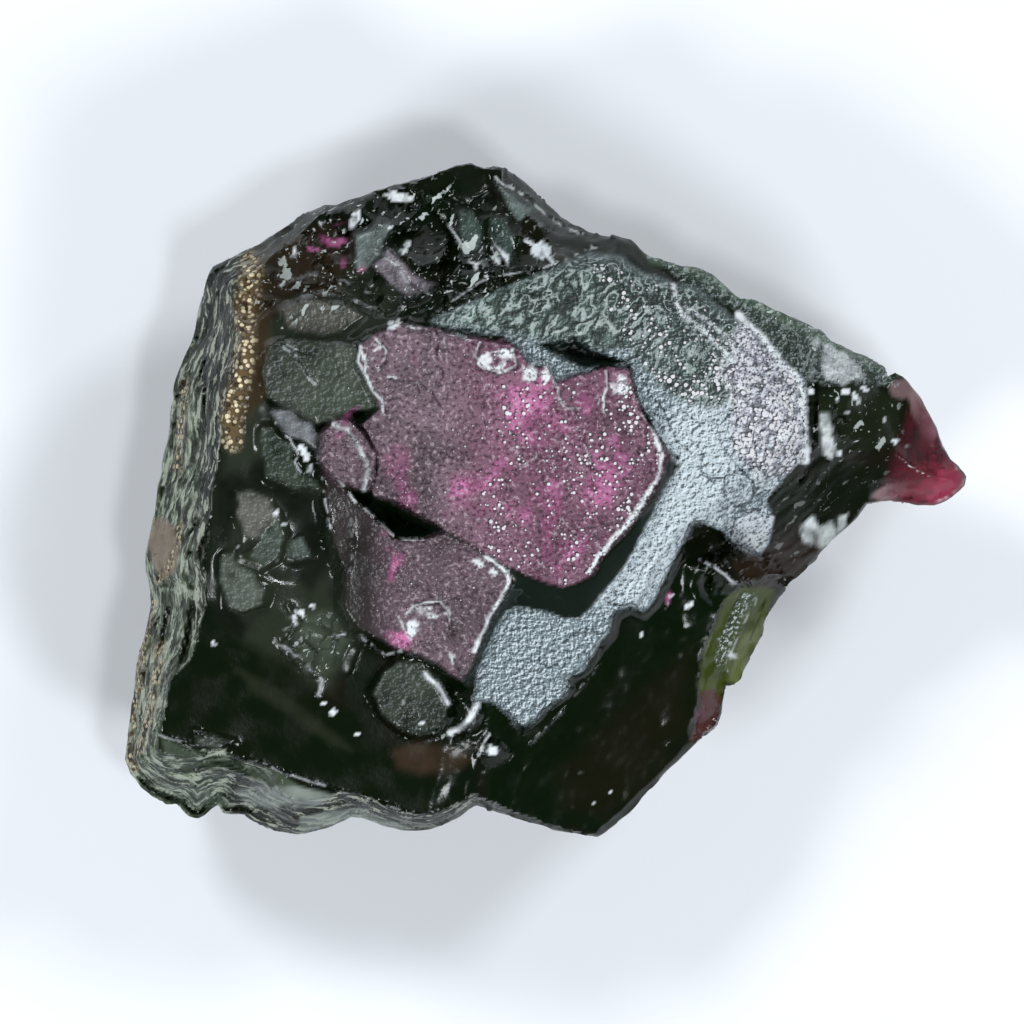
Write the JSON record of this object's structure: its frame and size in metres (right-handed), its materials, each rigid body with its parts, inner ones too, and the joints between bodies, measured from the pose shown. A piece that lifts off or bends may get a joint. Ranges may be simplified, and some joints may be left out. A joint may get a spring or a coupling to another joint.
{
  "type": "painite crystal",
  "caption": "Rough dark red-black painite crystal with stepped growth plates, a frosted layer, side striations and a thin translucent tip, lying on its flat break.",
  "frame": {"origin": "centre of the bounding box, at the level of the flat break that the stone lies on", "axes": "+Z out of the broad face with the growth plates, +X along the stone's length towards the thin tip"},
  "size_m": [0.0126, 0.01, 0.0057],
  "materials": {
    "painite": "dark red-black glassy stone, rose where light passes through thin plates, frosted grey on one growth layer"
  },
  "bodies": {
    "root": {"crystal": "painite"}
  },
  "joints": []
}
